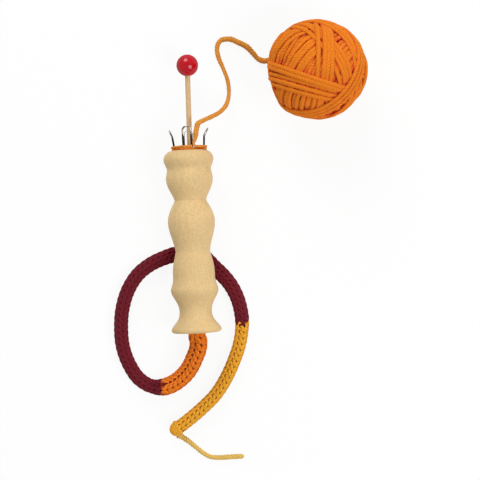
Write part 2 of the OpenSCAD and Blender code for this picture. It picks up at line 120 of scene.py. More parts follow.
# Bands of the ball from the outermost inwards: the axis each is wound about, its turns, and how far
# along the axis it lies from the ball's middle, as an angle
BALL_BANDS = (
    ((-0.48, 0.38, 0.79), 3, 0.0),
    ((0.56, 0.20, -0.80), 3, 0.0),
    ((-0.2, -0.04, 0.98), 2, 0.0),
    ((0.358, 0.922, 0.139), 2, -0.2),
    ((0.31, 0.94, 0.139), 3, -0.43),
    ((0.984, -0.122, -0.129), 4, 0.0),
    ((0.83, 0.39, -0.40), 4, 0.0),
    ((0.64, -0.66, 0.38), 5, 0.0),
    ((-0.23, 0.50, -0.83), 4, 0.0))
# Axes of the two layers of turns under the bands, each from pole to pole
GROUND_AXES = ((0.82, -0.57, 0.25), (-0.35, 0.55, 0.76))


def rgb(red, green, blue):
    """A colour given in display steps from 0 to 255, as scene-linear values."""
    steps = np.array((red, green, blue)) / 255
    linear = np.where(steps <= 0.04045, steps / 12.92, ((steps + 0.055) / 1.055) ** 2.4)
    return tuple(linear.tolist())


def length(label, words, metres):
    """A property for a length in metres."""
    return FloatProperty(
        name=label, description=words, default=metres, min=0.0, precision=5, unit="LENGTH")


def colour(label, words, value):
    """A property for a colour."""
    return FloatVectorProperty(
        name=label, description=words, default=value, size=3, min=0.0, max=1.0, subtype="COLOR")


class ForkSizes(bpy.types.PropertyGroup):
    """Sizes of the fork's dressing that a user would change."""

    stitches: IntProperty(
        name="Stitches a round", description="Stitches in one round of the knitted cord", default=4, min=3)
    stitch_rise: length("Stitch rise", "Length that one round adds to the knitted cord", 0.00355)
    bore_knit_d: length("Cord in the bore", "Diameter of the knitted cord in the bore", 0.0101)
    orange_d: length("Orange cord", "Diameter of the orange stretch of knitted cord", 0.0105)
    burgundy_d: length("Burgundy cord", "Diameter of the burgundy stretch of knitted cord", 0.0084)
    yellow_d: length("Yellow cord", "Diameter of the yellow stretch of knitted cord", 0.0079)
    cord_end_d: length("Cord end", "Diameter of the gathered end of the knitted cord", 0.01)
    knit_yarn_d: length("Knitted yarn", "Width of the yarn in the knitted cord", 0.0024)
    stitch_yarn_d: length("Stitch yarn", "Thickness of the stitches on the hooks", 0.0011)
    wrap_yarn_d: length("Wrapped yarn", "Thickness of the yarn laid round the hooks", 0.0012)
    loose_yarn_d: length("Loose yarn", "Thickness of the loose yarn", 0.003)
    tail_yarn_d: length("Yarn end", "Thickness of the yarn end on the cord", 0.0028)
    twist: length("Yarn twist", "Length of yarn in one full twist of its plies", 0.0056)
    ball_d: length("Ball", "Diameter of the ball of wool", 0.059)
    ball_yarn_d: length("Ball yarn", "Width of a strand on the ball", 0.0026)
    wire_d: length("Hook wire", "Diameter of the hooks' steel wire", 0.00105)
    hook_w: length("Hook width", "Width of a hook between the middles of its legs", 0.0049)


class ForkColours(bpy.types.PropertyGroup):
    """Colours of the fork's finishes."""

    spool_wood: colour("Spool wood", "Pale turned wood", rgb(230, 197, 140))
    stick_wood: colour("Stick wood", "Wood of the needle", rgb(222, 186, 138))
    red_lacquer: colour("Red lacquer", "Lacquer of the needle's head", rgb(188, 5, 27))
    steel: colour("Steel", "Bright wire of the hooks", rgb(150, 146, 140))
    orange_wool: colour("Orange wool", "Wool of the orange stretch", rgb(253, 136, 39))
    burgundy_wool: colour("Burgundy wool", "Wool of the burgundy stretch", rgb(118, 31, 43))
    yellow_wool: colour("Yellow wool", "Wool of the yellow stretch", rgb(248, 178, 54))
    end_wool: colour("Yarn end", "Wool of the yarn end on the cord", rgb(242, 198, 102))
    ball_wool: colour("Ball wool", "Wool of the ball", rgb(243, 137, 28))
    loose_wool: colour("Loose yarn", "Wool of the loose yarn, off the ball", rgb(233, 155, 63))


# Lines and surfaces

# Distance between the points of a fine line
LINE_STEP = 0.0003


def round_angles(sides):
    """Evenly spaced angles once round."""
    return np.linspace(0, 2 * np.pi, sides, endpoint=False)


def between(start, end, count):
    """Evenly spaced points between two ends, without the ends."""
    return np.linspace(start, end, count + 2)[1:-1]


def unit(vectors):
    """The vectors, each one long."""
    return vectors / np.linalg.norm(vectors, axis=-1, keepdims=True)


def eased(share):
    """A smooth step from 0 to 1: three times the square less twice the cube."""
    share = np.clip(share, 0, 1)
    return share * share * (3 - 2 * share)


def reaches(points):
    """How far along the line each of its points lies."""
    return np.concatenate([[0], np.cumsum(np.linalg.norm(np.diff(points[:, :3], axis=0), axis=1))])


def columns_at(table, reach, at):
    """A table's columns at distances along the line that it goes with."""
    return np.stack([np.interp(at, reach, column) for column in table.T], axis=-1)


def smooth_line(points, step):
    """Points about a step apart on a smooth curve through the given ones.

    Between two given points each column is the cubic that meets both and has, at each of them, the
    slope of the two chords there, each weighed by the other's length.
    """
    points = np.asarray(points, float)
    chord = np.linalg.norm(np.diff(points[:, :3], axis=0), axis=1)
    knots = np.concatenate([[0], np.cumsum(chord)])
    rise = np.diff(points, axis=0) / chord[:, None]
    inner = (rise[:-1] * chord[1:, None] + rise[1:] * chord[:-1, None]) / (chord[1:] + chord[:-1])[:, None]
    slope = np.vstack([rise[:1], inner, rise[-1:]])
    at = np.linspace(0, knots[-1], 4 * int(knots[-1] / step) + 2)
    i = np.clip(np.searchsorted(knots, at, side="right") - 1, 0, len(chord) - 1)
    u = ((at - knots[i]) / chord[i])[:, None]
    bow = chord[i][:, None] * (u - u * u)
    fine = points[i] + eased(u) * (points[i + 1] - points[i])
    fine += bow * ((1 - u) * slope[i] - u * slope[i + 1])
    reach = reaches(fine)
    return columns_at(fine, reach, np.linspace(0, reach[-1], max(2, int(reach[-1] / step) + 1)))


def directions(points):
    """The line's direction at each of its points."""
    return unit(np.gradient(points, axis=0))


def squared(vectors, along):
    """The vectors made square to the line."""
    return unit(vectors - np.sum(vectors * along, axis=-1, keepdims=True) * along)


def carried(along, first):
    """A direction square to the line at each ring, carried from ring to ring without turning about it."""
    out = np.empty_like(along)
    last = np.asarray(first, float)
    for i, direction in enumerate(along):
        last = squared(last, direction)
        out[i] = last
    return out


class Shape:
    """Vertices, faces, strand coordinates and heights of one mesh, put together from parts; the heights are
    the painted light and shade of each point.
    """

    def __init__(self):
        self.points = []
        self.faces = []
        self.uvs = []
        self.heights = []
        self.count = 0

    def add(self, rings, closed, uv_along, heights):
        """A grid of rings, closed round each ring: capped at both ends, or joined end to end if closed.

        A corner's strand coordinates are how far along its ring lies and its share of the way round.
        """
        number, sides = rings.shape[:2]
        i = np.arange(number if closed else number - 1)[:, None]
        k = np.arange(sides)[None, :]
        here = i * sides + k
        beside = i * sides + (k + 1) % sides
        step = (i + 1) % number * sides
        quads = np.stack([here, step + k, step + (k + 1) % sides, beside], axis=-1)
        low = np.broadcast_to(uv_along[:, None], (number, sides))
        u = np.stack([low[i, k], low[(i + 1) % number, k], low[(i + 1) % number, k], low[i, k]], axis=-1)
        v = np.broadcast_to(np.stack([k, k, k + 1, k + 1], axis=-1) / sides, u.shape)
        self.faces += (quads.reshape(-1, 4) + self.count).tolist()
        self.uvs.append(np.stack([u, v], axis=-1).reshape(-1, 2))
        if not closed:
            ends = np.arange(sides)
            self.faces.append((ends + self.count).tolist())
            self.faces.append((ends[::-1] + (number - 1) * sides + self.count).tolist())
            for at in (uv_along[0], uv_along[-1]):
                self.uvs.append(np.tile((at, 0.5), (sides, 1)))
        self.points.append(rings.reshape(-1, 3))
        # The heights are painted light and shade: on wool 0 is painted full shade, on the hooks 1 is a
        # painted highlight
        self.heights.append(np.broadcast_to(heights, (number, sides)).ravel())
        self.count += number * sides

    def piece(self, name, material, body, slot, *nodes):
        """The shape as an object that rides on a body, takes the finish given and replaces nodes; the slot
        is not used.
        """
        mesh = bpy.data.meshes.new(name)
        mesh.from_pydata(np.concatenate(self.points).tolist(), [], self.faces)
        strand = mesh.uv_layers.new(name="strand")
        strand.data.foreach_set("uv", np.concatenate(self.uvs).astype(np.float32).ravel())
        # Painted light and shade of each point, which the finishes read
        painted_light = mesh.attributes.new("painted_light", "FLOAT", "POINT")
        painted_light.data.foreach_set("value", np.concatenate(self.heights).astype(np.float32))
        mesh.shade_smooth()
        mesh.materials.append(material)
        piece = bpy.data.objects.new(name, mesh)
        bpy.context.scene.collection.objects.link(piece)
        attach(piece, body)
        if nodes:
            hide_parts(*nodes)
        return piece


def strand_rings(centres, along, out, wide, high, sides, swell=1.0):
    """Rings of a strand: centre + across * wide * cos a + out * high * sin a, each times its swell."""
    a = round_angles(sides)
    across = np.cross(along, out)
    wide = np.broadcast_to(wide, len(centres))[:, None, None]
    high = np.broadcast_to(high, len(centres))[:, None, None]
    ring = wide * np.cos(a)[None, :, None] * across[:, None, :]
    ring = ring + high * np.sin(a)[None, :, None] * out[:, None, :]
    return centres[:, None, :] + ring * np.asarray(swell)[..., None]


# Plies of a yarn, sides of each, depth of the groove between two and how light the painted shade in that
# groove is
PLIES = 3
PLY_SIDES = 7
PLY_GROOVE = 0.2
PLY_LIGHT = 0.55
# Swellings along a yarn: the share of its thickness and the pace of each
YARN_WAVES = ((0.03, 410), (0.025, 1130))


def uneven(reach, waves):
    """Swelling along a strand: one, plus each wave's share times the sine of its pace along it.

    Each wave starts a radian on from the one before.
    """
    return 1 + sum(share * np.sin(reach * pace + k) for k, (share, pace) in enumerate(waves))


def add_plied_yarn(shape, points, thick, twist, outward=None, flat=1.0, spread=1.0):
    """A yarn of three plies: its section has a lobe for each ply and turns once in a twist's length.

    A point of the section lies at the half thickness, less a groove's depth times one less the size of
    the cosine of half the plies' angle. The thickness swells and thins a little along the yarn. With
    an outward direction at each point, the section is as flat as said that way and spread the other.
    """
    reach = reaches(points)
    along = directions(points)
    out = carried(along, UP + 0.01) if outward is None else squared(outward, along)
    turned = round_angles(PLIES * PLY_SIDES)[None, :] - 2 * np.pi * reach[:, None] / twist
    lobe = np.abs(np.cos(PLIES * turned / 2))
    swell = (1 - PLY_GROOVE * (1 - lobe)) * uneven(reach, YARN_WAVES)[:, None]
    half = np.broadcast_to(np.asarray(thick) / 2, len(points))
    rings = strand_rings(points, along, out, spread * half, flat * half, PLIES * PLY_SIDES, swell)
    # Painted shade: the grooves between the plies are darker, the lobes lit
    shape.add(rings, False, reach, PLY_LIGHT + (1 - PLY_LIGHT) * lobe)


def turned_rings(profile, origin, axis, sides):
    """Rings of a turned shape: for each height and radius, a circle of that radius about the axis."""
    axis = unit(np.asarray(axis, float))
    side = squared(UP, axis)
    a = round_angles(sides)
    circle = np.cos(a)[:, None] * np.cross(axis, side) + np.sin(a)[:, None] * side
    heights = profile[:, 0][:, None, None] * axis
    return origin + heights + profile[:, 1][:, None, None] * circle[None]


# Materials

# Wool fibres in a metre along the strand and in a ply round it
FIBRES_ALONG = 260.0
FIBRES_ROUND = 4.0
# Where the line lies that the wood's growth rings go round, and its slant
RINGS_PLACE = (0.021, 0, 0.034)
RINGS_SLANT = (0.03, 0, 0.02)


def add_node(tree, kind, inputs=(), **settings):
    """A shader node with its settings, and with its inputs set to values or linked to outputs."""
    node = tree.nodes.new(kind)
    for name, value in settings.items():
        setattr(node, name, value)
    for name, value in dict(inputs).items():
        if isinstance(value, bpy.types.NodeSocket):
            tree.links.new(value, node.inputs[name])
        else:
            node.inputs[name].default_value = value
    return node


def maths(tree, operation, first, second=0.0):
    """The output of a sum, product or the like of two values or outputs."""
    return add_node(tree, "ShaderNodeMath", {0: first, 1: second}, operation=operation).outputs[0]


def blended(tree, share, low, high):
    """The output of a mix of two colours."""
    return add_node(tree, "ShaderNodeMix", {0: share, 6: low, 7: high}, data_type="RGBA").outputs[2]


def noise(tree, place, scale, detail):
    """The output of a noise at a place, from 0 to 1."""
    inputs = {"Vector": place, "Scale": scale, "Detail": detail}
    return add_node(tree, "ShaderNodeTexNoise", inputs).outputs[0]


def stretched(tree, place, scale):
    """The output of a place with each of its axes scaled."""
    return add_node(tree, "ShaderNodeMapping", {"Vector": place, "Scale": scale}).outputs[0]


def object_place(tree):
    """The output of the place on the object itself, which moves with it."""
    return add_node(tree, "ShaderNodeTexCoord").outputs["Object"]


def strand_place(tree):
    """The output of the way along a strand and the share of the way round it."""
    return add_node(tree, "ShaderNodeUVMap", uv_map="strand").outputs[0]


def painted_light_mask(tree):
    """The output of the painted light kept on the mesh, from 0 to 1: on wool 0 is painted full shade, and
    on the hooks 1 is a painted highlight.
    """
    return add_node(tree, "ShaderNodeAttribute", attribute_name="painted_light").outputs["Fac"]


def ramped(tree, value, *stops):
    """The output of a ramp from stop to stop, each a place from 0 to 1 and a grey value."""
    node = add_node(tree, "ShaderNodeValToRGB", {0: value})
    elements = node.color_ramp.elements
    while len(elements) < len(stops):
        elements.new(0.5)
    for element, (place, grey) in zip(elements, stops):
        element.position = place
        element.color = (grey, grey, grey, 1)
    return node.outputs[0]


def shade(value, factor):
    """A colour made darker or lighter by a factor, with its alpha."""
    return (*np.clip(np.array(value[:3]) * factor, 0, 1).tolist(), 1.0)


def new_finish(name, **sockets):
    """A material with its tree and its shader, whose plain sockets are set."""
    material = bpy.data.materials.new(name)
    material.use_nodes = True
    shader = material.node_tree.nodes["Principled BSDF"]
    for socket, value in sockets.items():
        shader.inputs[socket.replace("_", " ")].default_value = value
    return material, material.node_tree, shader


def add_surface(tree, shader, tone, height, strength, depth):
    """Give a shader its colour, and fine relief of a strength and a depth from a height."""
    inputs = {"Strength": strength, "Distance": depth, "Height": height}
    bump = add_node(tree, "ShaderNodeBump", inputs)
    tree.links.new(bump.outputs[0], shader.inputs["Normal"])
    tree.links.new(tone, shader.inputs["Base Color"])


def wool(name, base, painted_shade, twist):
    """Soft plied wool: grooves between the plies, fibres that run with the twist, and painted shade in the
    grooves and hollows.
    """
    material, tree, shader = new_finish(
        name, Roughness=0.9, Sheen_Weight=0.3, Sheen_Roughness=0.45, Specular_IOR_Level=0.15,
        Sheen_Tint=shade(base, 1.3))
    split = add_node(tree, "ShaderNodeSeparateXYZ", {0: strand_place(tree)})
    along, turned = split.outputs[0], split.outputs[1]
    turns = maths(tree, "ADD", maths(tree, "DIVIDE", along, twist), turned)
    round_ply = maths(tree, "MULTIPLY", turns, PLIES)
    ridge = maths(tree, "ABSOLUTE", maths(tree, "SINE", maths(tree, "MULTIPLY", round_ply, np.pi)))
    lay = add_node(tree, "ShaderNodeCombineXYZ", {
        0: maths(tree, "MULTIPLY", along, FIBRES_ALONG),
        1: maths(tree, "MULTIPLY", round_ply, FIBRES_ROUND)})
    fibre = noise(tree, lay.outputs[0], 1.0, 3.0)
    patch = noise(tree, object_place(tree), 160.0, 2.0)
    fibre_share = ramped(tree, fibre, (0.3, 0.0), (0.7, 1.0))
    # Painted shade masks: the grooves between the plies, and wherever the mesh's painted light is low
    groove = maths(tree, "SUBTRACT", 1.0, ramped(tree, ridge, (0.0, 0.55), (0.5, 1.0)))
    level = ramped(tree, painted_light_mask(tree), (0.1, 0.0), (0.75, 1.0))
    tone = blended(tree, fibre_share, shade(base, 0.8), shade(base, 1.02))
    tone = blended(tree, maths(tree, "MULTIPLY", patch, 0.22), tone, shade(base, 0.62))
    # Painted shade blended in: first in the grooves, then where the painted light is low
    tone = blended(tree, groove, tone, painted_shade)
    tone = blended(tree, level, painted_shade, tone)
    height = maths(
        tree, "ADD", maths(tree, "MULTIPLY", ridge, 0.7), maths(tree, "MULTIPLY", fibre, 0.5))
    add_surface(tree, shader, tone, height, 0.55, 0.00025)
    return material


def turned_wood(name, base, grain_scale, tool_marks):
    """Pale wood: growth rings about a line beside the piece, pores along it and the marks of turning."""
    material, tree, shader = new_finish(name, Specular_IOR_Level=0.3)
    place = object_place(tree)
    beside = add_node(tree, "ShaderNodeMapping", {
        "Vector": place, "Location": RINGS_PLACE, "Rotation": RINGS_SLANT}).outputs[0]
    rings = add_node(tree, "ShaderNodeTexWave", {
        "Vector": beside, "Scale": grain_scale, "Distortion": 2.2, "Detail": 2.0, "Detail Scale": 0.6},
        wave_type="RINGS", rings_direction="Y", wave_profile="SAW").outputs[1]
    streak = noise(tree, stretched(tree, place, (1, 0.055, 1)), 900.0, 4.0)
    fleck = noise(tree, stretched(tree, place, (1, 0.45, 1)), 2400.0, 1.0)
    cloud = noise(tree, place, 55.0, 3.0)
    lathe = noise(tree, stretched(tree, place, (0.02, 1, 0.02)), 2600.0, 2.0)
    tone = shade(base, 1.04)
    for value, low, high, factor in (
            (rings, (0.0, 0.0), (0.9, 0.22), 0.84), (streak, (0.35, 0.0), (0.75, 0.45), 0.76),
            (fleck, (0.56, 0.0), (0.68, 0.7), 0.58), (cloud, (0.3, 0.0), (0.75, 0.5), 0.84)):
        tone = blended(tree, ramped(tree, value, low, high), tone, shade(base, factor))
    rough = ramped(tree, streak, (0.2, 0.5), (0.8, 0.68))
    tree.links.new(rough, shader.inputs["Roughness"])
    height = maths(tree, "ADD", maths(tree, "MULTIPLY", lathe, tool_marks), streak)
    height = maths(tree, "SUBTRACT", height, maths(tree, "MULTIPLY", fleck, 0.4))
    add_surface(tree, shader, tone, height, 0.22, 0.0001)
    return material


def lacquer(name, base):
    """Glossy paint in a clear coat, a little uneven over the bead's wood."""
    material, tree, shader = new_finish(
        name, Roughness=0.4, Coat_Weight=0.2, Coat_Roughness=0.06, Coat_IOR=2.4, Specular_IOR_Level=0.0)
    place = object_place(tree)
    cloud = ramped(tree, noise(tree, place, 210.0, 3.0), (0.35, 0.0), (0.75, 1.0))
    tone = blended(tree, cloud, shade(base, 1.08), shade(base, 0.8))
    add_surface(tree, shader, tone, noise(tree, place, 900.0, 2.0), 0.02, 0.0001)
    return material


def drawn_steel(name, base):
    """Drawn wire with fine lines along it: the legs painted near black as a painted dark reflection, and a
    painted highlight towards the tips.
    """
    material, tree, shader = new_finish(name, Metallic=1.0)
    lines = noise(tree, stretched(tree, strand_place(tree), (90.0, 40.0, 1.0)), 1.0, 4.0)
    painted_reflection_noise = noise(tree, object_place(tree), 420.0, 3.0)
    # Painted dark reflection: the legs' colour set near black in patches
    dark_reflection_share = ramped(tree, painted_reflection_noise, (0.4, 0.0), (0.7, 1.0))
    tone = blended(tree, dark_reflection_share, shade(base, 0.09), shade(base, 0.03))
    # Painted highlight towards the tips, broken up in patches
    highlight_share = ramped(tree, painted_reflection_noise, (0.35, 1.0), (0.65, 0.25))
    painted_tip_highlight = maths(tree, "MULTIPLY", painted_light_mask(tree), highlight_share)
    tone = blended(tree, painted_tip_highlight, tone, shade(base, 2.2))
    rough = maths(tree, "ADD", maths(tree, "MULTIPLY", lines, 0.16), 0.1)
    tree.links.new(rough, shader.inputs["Roughness"])
    add_surface(tree, shader, tone, lines, 0.08, 0.00005)
    return material


# Stage

# The camera: the place it looks down on, its height, lens, turn in degrees and sensor
VIEW_MIDDLE = (0.02858, -0.02932)
VIEW_HEIGHT = 0.835
VIEW_LENS = 102.5
VIEW_ROLL = -2.75
SENSOR_W = 36
# The floor: its radius, sides, own grey and how far it is lifted to white
FLOOR_R = 8.0
FLOOR_SIDES = 96
FLOOR_GREY = 0.92
FLOOR_WHITE = 0.9
WORLD_STRENGTH = 0.74
# Grey of the soft light at each share of the way from the horizon to overhead
WORLD_STEPS = ((0.0, 0.66), (0.2, 0.64), (0.6, 0.56), (1.0, 0.5))
# Each lamp's place, width and power in watts
LAMPS = (
    ("key_light", (0.68, -0.44, 1.0), 0.8, 8.2),
    ("back_light", (-0.25, 1.05, 0.75), 0.8, 8.9))


def white_floor():
    """A white surface that keeps its shadows, lifted most of the way to white where it is seen itself."""
    material = bpy.data.materials.new("white_floor")
    material.use_nodes = True
    tree = material.node_tree
    tree.nodes.clear()
    ray = add_node(tree, "ShaderNodeLightPath")
    seen = maths(tree, "MAXIMUM", ray.outputs["Is Camera Ray"], ray.outputs["Is Glossy Ray"])
    seen = maths(tree, "MAXIMUM", seen, ray.outputs["Is Transmission Ray"])
    plain = add_node(tree, "ShaderNodeBsdfDiffuse", {"Color": (FLOOR_GREY, FLOOR_GREY, FLOOR_GREY, 1)})
    white = add_node(tree, "ShaderNodeEmission", {"Color": (1, 1, 1, 1), "Strength": 1.0})
    both = add_node(tree, "ShaderNodeMixShader", {
        0: maths(tree, "MULTIPLY", seen, FLOOR_WHITE), 1: plain.outputs[0], 2: white.outputs[0]})
    end = add_node(tree, "ShaderNodeOutputMaterial")
    tree.links.new(both.outputs[0], end.inputs[0])
    return material


def studio_world():
    """Soft light from all round, brightest at the horizon and greyer overhead."""
    world = bpy.data.worlds.new("studio")
    world.use_nodes = True
    tree = world.node_tree
    back = tree.nodes["Background"]
    facing = add_node(tree, "ShaderNodeTexCoord").outputs["Generated"]
    rise = add_node(tree, "ShaderNodeSeparateXYZ", {0: facing}).outputs[2]
    tree.links.new(ramped(tree, rise, *WORLD_STEPS), back.inputs[0])
    back.inputs[1].default_value = WORLD_STRENGTH
    return world


class FORK_OT_stage(bpy.types.Operator):
    """Lay the white floor, light it softly and look straight down on the fork"""

    bl_idname = "fork.stage"
    bl_label = "Stage"

    def execute(self, context):
        scene = context.scene
        scene.view_settings.view_transform = "Standard"
        scene.world = studio_world()
        a = round_angles(FLOOR_SIDES)
        rim = np.stack([FLOOR_R * np.cos(a), FLOOR_R * np.sin(a), np.zeros_like(a)], axis=1)
        mesh = bpy.data.meshes.new("floor")
        mesh.from_pydata(rim.tolist(), [], [list(range(len(a)))])
        mesh.materials.append(white_floor())
        floor = bpy.data.objects.new("floor", mesh)
        scene.collection.objects.link(floor)
        for name, place, size, power in LAMPS:
            lamp = bpy.data.lights.new(name, "AREA")
            lamp.shape = "DISK"
            lamp.size = size
            lamp.energy = power
            light = bpy.data.objects.new(name, lamp)
            light.location = place
            light.rotation_euler = (-light.location).to_track_quat("-Z", "Y").to_euler()
            scene.collection.objects.link(light)
        eye = bpy.data.cameras.new("camera")
        eye.lens = VIEW_LENS
        eye.sensor_width = SENSOR_W
        camera = bpy.data.objects.new("camera", eye)
        camera.location = (*VIEW_MIDDLE, VIEW_HEIGHT)
        camera.rotation_euler = (0, 0, np.radians(VIEW_ROLL))
        scene.collection.objects.link(camera)
        scene.camera = camera
        return {"FINISHED"}


# Knitted cord

# A stitch: points along it, sides of its yarn, lean round the cord, reach along it in rounds, wave in
# and out, tuck of its ends and what it adds to the cord's radius outside the bore
KNIT_SAMPLES = 22
KNIT_SIDES = 10
KNIT_LEAN = 0.24
KNIT_REACH = 0.78
KNIT_WAVE = 0.0003
KNIT_TUCK = 0.0003
KNIT_FULL = 0.00022
# Painted shade: how light the yarn's sides are left and how dark its tucked ends are painted
KNIT_LIGHT = 0.85
KNIT_DARK = 0.95
# The yarn's height as a share of its width, its wave and its share of thickness in the bore, and the
# length over which these change at the bore's mouth
YARN_FLAT = 0.86
BORE_WAVE = 0.00025
BORE_YARN = 0.75
MOUTH_BLEND = 0.008
# The knitting yarn's share of its thickness in orange, burgundy and yellow
YARN_SHARES = (1.0, 0.94, 0.82)
# Where the cord is flattened: how much wider it gets, and the least height of its yarn and its lining
FLAT_SPREAD = 0.42
FLAT_YARN = 0.55
FLAT_CORE = 0.35
# Turn of the stitches about the cord
COLUMN_TURN = np.radians(22.5)
# How far the first stitches of orange, burgundy and yellow reach back over the colour before
JOIN_TEETH = (0.0, 0.0012, 0.0008)
# Stitches by which burgundy and yellow start early, as the tops of the colour before lie over them
JOIN_BACK = (3, 1)
# The lining's sides and the distance between its rings
CORE_SIDES = 16
CORE_STEP = 0.0015
# How far the lining lies under the stitches, in yarn widths, in the bore and outside it
CORE_UNDER = (0.75, 1.1)


def from_foot(route):
    """A route given along from the foot, in the frame."""
    points = np.array(route, float)
    points[:, 1] += FOOT_Y
    return points


class KnittedCord:
    """The knitted cord along its whole route, from which each colour takes its stitches.

    The yarn goes round and round the cord, and each stitch is one wave of it. With a wave's phase w, a
    stitch goes along by minus its reach times cos w, round by its share of the round plus its lean
    times sin 2w, and out by minus its depth times cos 2w, so its two legs stand out as a V and its
    ends tuck in behind the next ones. A colour's first stitches reach back over the one before it.
    """

    def __init__(self, sizes):
        self.sizes = sizes
        route = BORE_ROUTE + ORANGE_ROUTE + BURGUNDY_ROUTE + YELLOW_ROUTE
        self.line = smooth_line(from_foot(route), LINE_STEP)
        self.reach = reaches(self.line)
        joins = [from_foot(route)[-1, :3] for route in (ORANGE_ROUTE, BURGUNDY_ROUTE)]
        self.mouth = self.nearest(from_foot(ORANGE_ROUTE)[0, :3])
        self.joins = [0.0, *(self.nearest(join) for join in joins), self.reach[-1]]
        total = round(self.reach[-1] / sizes.stitch_rise * sizes.stitches)
        self.stitch = self.reach[-1] / total
        changes = [round(join / self.stitch) - back for join, back in zip(self.joins[1:3], JOIN_BACK)]
        self.counts = [0, *changes, total]

    def nearest(self, place):
        """How far along the cord the place lies."""
        return self.reach[np.argmin(np.linalg.norm(self.line[:, :3] - place, axis=1))]

    def frames(self, at):
        """Middle, direction along, across and up, and share of thickness, at distances along the cord."""
        at = np.clip(at, 0, self.reach[-1])
        columns = columns_at(self.line, self.reach, at)
        along = unit(columns_at(np.gradient(self.line[:, :3], axis=0), self.reach, at))
        across = unit(np.cross(along, UP))
        return columns[:, :3], along, across, np.cross(across, along), columns[:, 3]

    def outside(self, at):
        """0 inside the bore and 1 outside it, with a smooth step at its mouth."""
        return eased((at - self.mouth) / MOUTH_BLEND + 0.5)

    def radius(self, at):
        """Half the cord's diameter: each colour has its own, and it changes over a few stitches."""
        s = self.sizes
        places, halves = [], []
        for place, before, after in (
                (self.mouth, s.bore_knit_d, s.orange_d), (self.joins[1], s.orange_d, s.burgundy_d),
                (self.joins[2], s.burgundy_d, s.yellow_d)):
            places += [place - s.stitch_rise, place + s.stitch_rise]
            halves += [before / 2, after / 2]
        return np.interp(at, places, halves)

    def stretch(self, colour):
        """The shape of one colour's stretch: 0 is orange, 1 burgundy and 2 yellow."""
        s = self.sizes
        first, last = self.counts[colour:colour + 2]
        count = np.linspace(first + 0.5, last, (last - first) * KNIT_SAMPLES + 1)
        wave = 2 * np.pi * count
        base = count * self.stitch
        outside = self.outside(base)
        thick = s.knit_yarn_d / 2 * YARN_SHARES[colour] * (BORE_YARN + (1 - BORE_YARN) * outside)
        depth = BORE_WAVE + (KNIT_WAVE - BORE_WAVE) * outside
        at = base - KNIT_REACH * s.stitch_rise * np.cos(wave)
        at = np.maximum(at, first * self.stitch - JOIN_TEETH[colour])
        middle, _, across, up, share = self.frames(at)
        angle = 2 * np.pi / s.stitches * (count + KNIT_LEAN * np.sin(2 * wave)) + COLUMN_TURN
        half = self.radius(base) + KNIT_FULL * outside
        high = thick * YARN_FLAT * (FLAT_YARN + (1 - FLAT_YARN) * share)
        ring_r = half - thick * YARN_FLAT
        radial = ring_r - depth - depth * np.cos(2 * wave) - KNIT_TUCK * outside * np.cos(wave)
        wide_share = 1 + FLAT_SPREAD * (1 - share)
        high_share = (half * share - high) / ring_r
        out = (np.cos(angle) * wide_share)[:, None] * across
        out = out + (np.sin(angle) * high_share)[:, None] * up
        centres = middle + radial[:, None] * out
        along = directions(centres)
        rings = strand_rings(centres, along, squared(out, along), thick, high, KNIT_SIDES)
        # Painted shade: dark where the stitch's ends tuck in behind the next ones, and on the yarn's inner
        # side
        painted_tuck_shade = KNIT_DARK * np.cos(wave) ** 4
        painted_light = KNIT_LIGHT + (1 - KNIT_LIGHT) * np.sin(round_angles(KNIT_SIDES)) - painted_tuck_shade[:, None]
        shape = Shape()
        shape.add(rings, False, reaches(centres), np.clip(painted_light, 0, 1))
        self.add_core(shape, self.joins[colour], self.joins[colour + 1])
        return shape

    def add_core(self, shape, start, end):
        """A plain lining just under the stitches, from one place along the cord to another, painted in full
        shade.
        """
        at = np.linspace(start, end, round((end - start) / CORE_STEP) + 1)
        middle, along, _, up, share = self.frames(at)
        half = self.radius(at) - self.sizes.knit_yarn_d * np.interp(self.outside(at), (0, 1), CORE_UNDER)
        wide = half * (1 + FLAT_SPREAD * (1 - share))
        high = half * share * (FLAT_CORE + (1 - FLAT_CORE) * share)
        # Painted light of 0: the lining is painted in full shade
        shape.add(strand_rings(middle, along, up, wide, high, CORE_SIDES), False, at, 0.0)


class FORK_OT_knitted_cord(bpy.types.Operator):
    """Knit the cord in its three colours, from the bore to its gathered end"""

    bl_idname = "fork.knitted_cord"
    bl_label = "Knitted cord"

    def execute(self, context):
        sizes = context.scene.fork_sizes
        tints = context.scene.fork_colours
        cord = KnittedCord(sizes)
        pieces = []
        # Each colour's painted shade, as factors of its wool colour, for its grooves, hollows and tucked
        # ends
        for k, (tint, depth, name, slot, nodes) in enumerate((
                (tints.orange_wool, (0.2, 0.05, 0.2), "knit_orange", "orange_wool",
                 ("cord_in_bore", "cord_orange")),
                (tints.burgundy_wool, (0.6, 0.55, 0.6), "knit_burgundy", "burgundy_wool",
                 ("cord_burgundy",)),
                (tints.yellow_wool, (0.3, 0.13, 0.05), "knit_yellow", "yellow_wool", ("cord_yellow",)))):
            material = wool(name + "_wool", tint, shade(tint, depth), sizes.twist)
            pieces.append(cord.stretch(k).piece(name, material, "fork", slot, *nodes))
        knot = gathered_end(cord, sizes).piece(
            "gathered_end", pieces[2].data.materials[0], "fork", "yellow_wool", "cord_end")
        return {"FINISHED"}


# The gathered end: its length, turns, rings, first and last angle up the dome, and its painted light and
# shade
END_LENGTH = 0.0064
END_TURNS = 4.2
END_RINGS = 150
END_LIFT = np.radians((4, 82))
END_LIGHT = 0.95
END_SHADE = 0.1
# Its pinch: depth, place and width as shares, and the painted shade in it
PINCH = 0.05
PINCH_AT = 0.22
PINCH_WIDTH = 0.12
PINCH_SHADE = 3.75
# Its lining: rings, last angle up the dome, and length and width as shares
END_CORE_RINGS = 7
END_CORE_LIFT = np.radians(80)
END_CORE_LONG = 0.6
END_CORE_WIDE = 0.65


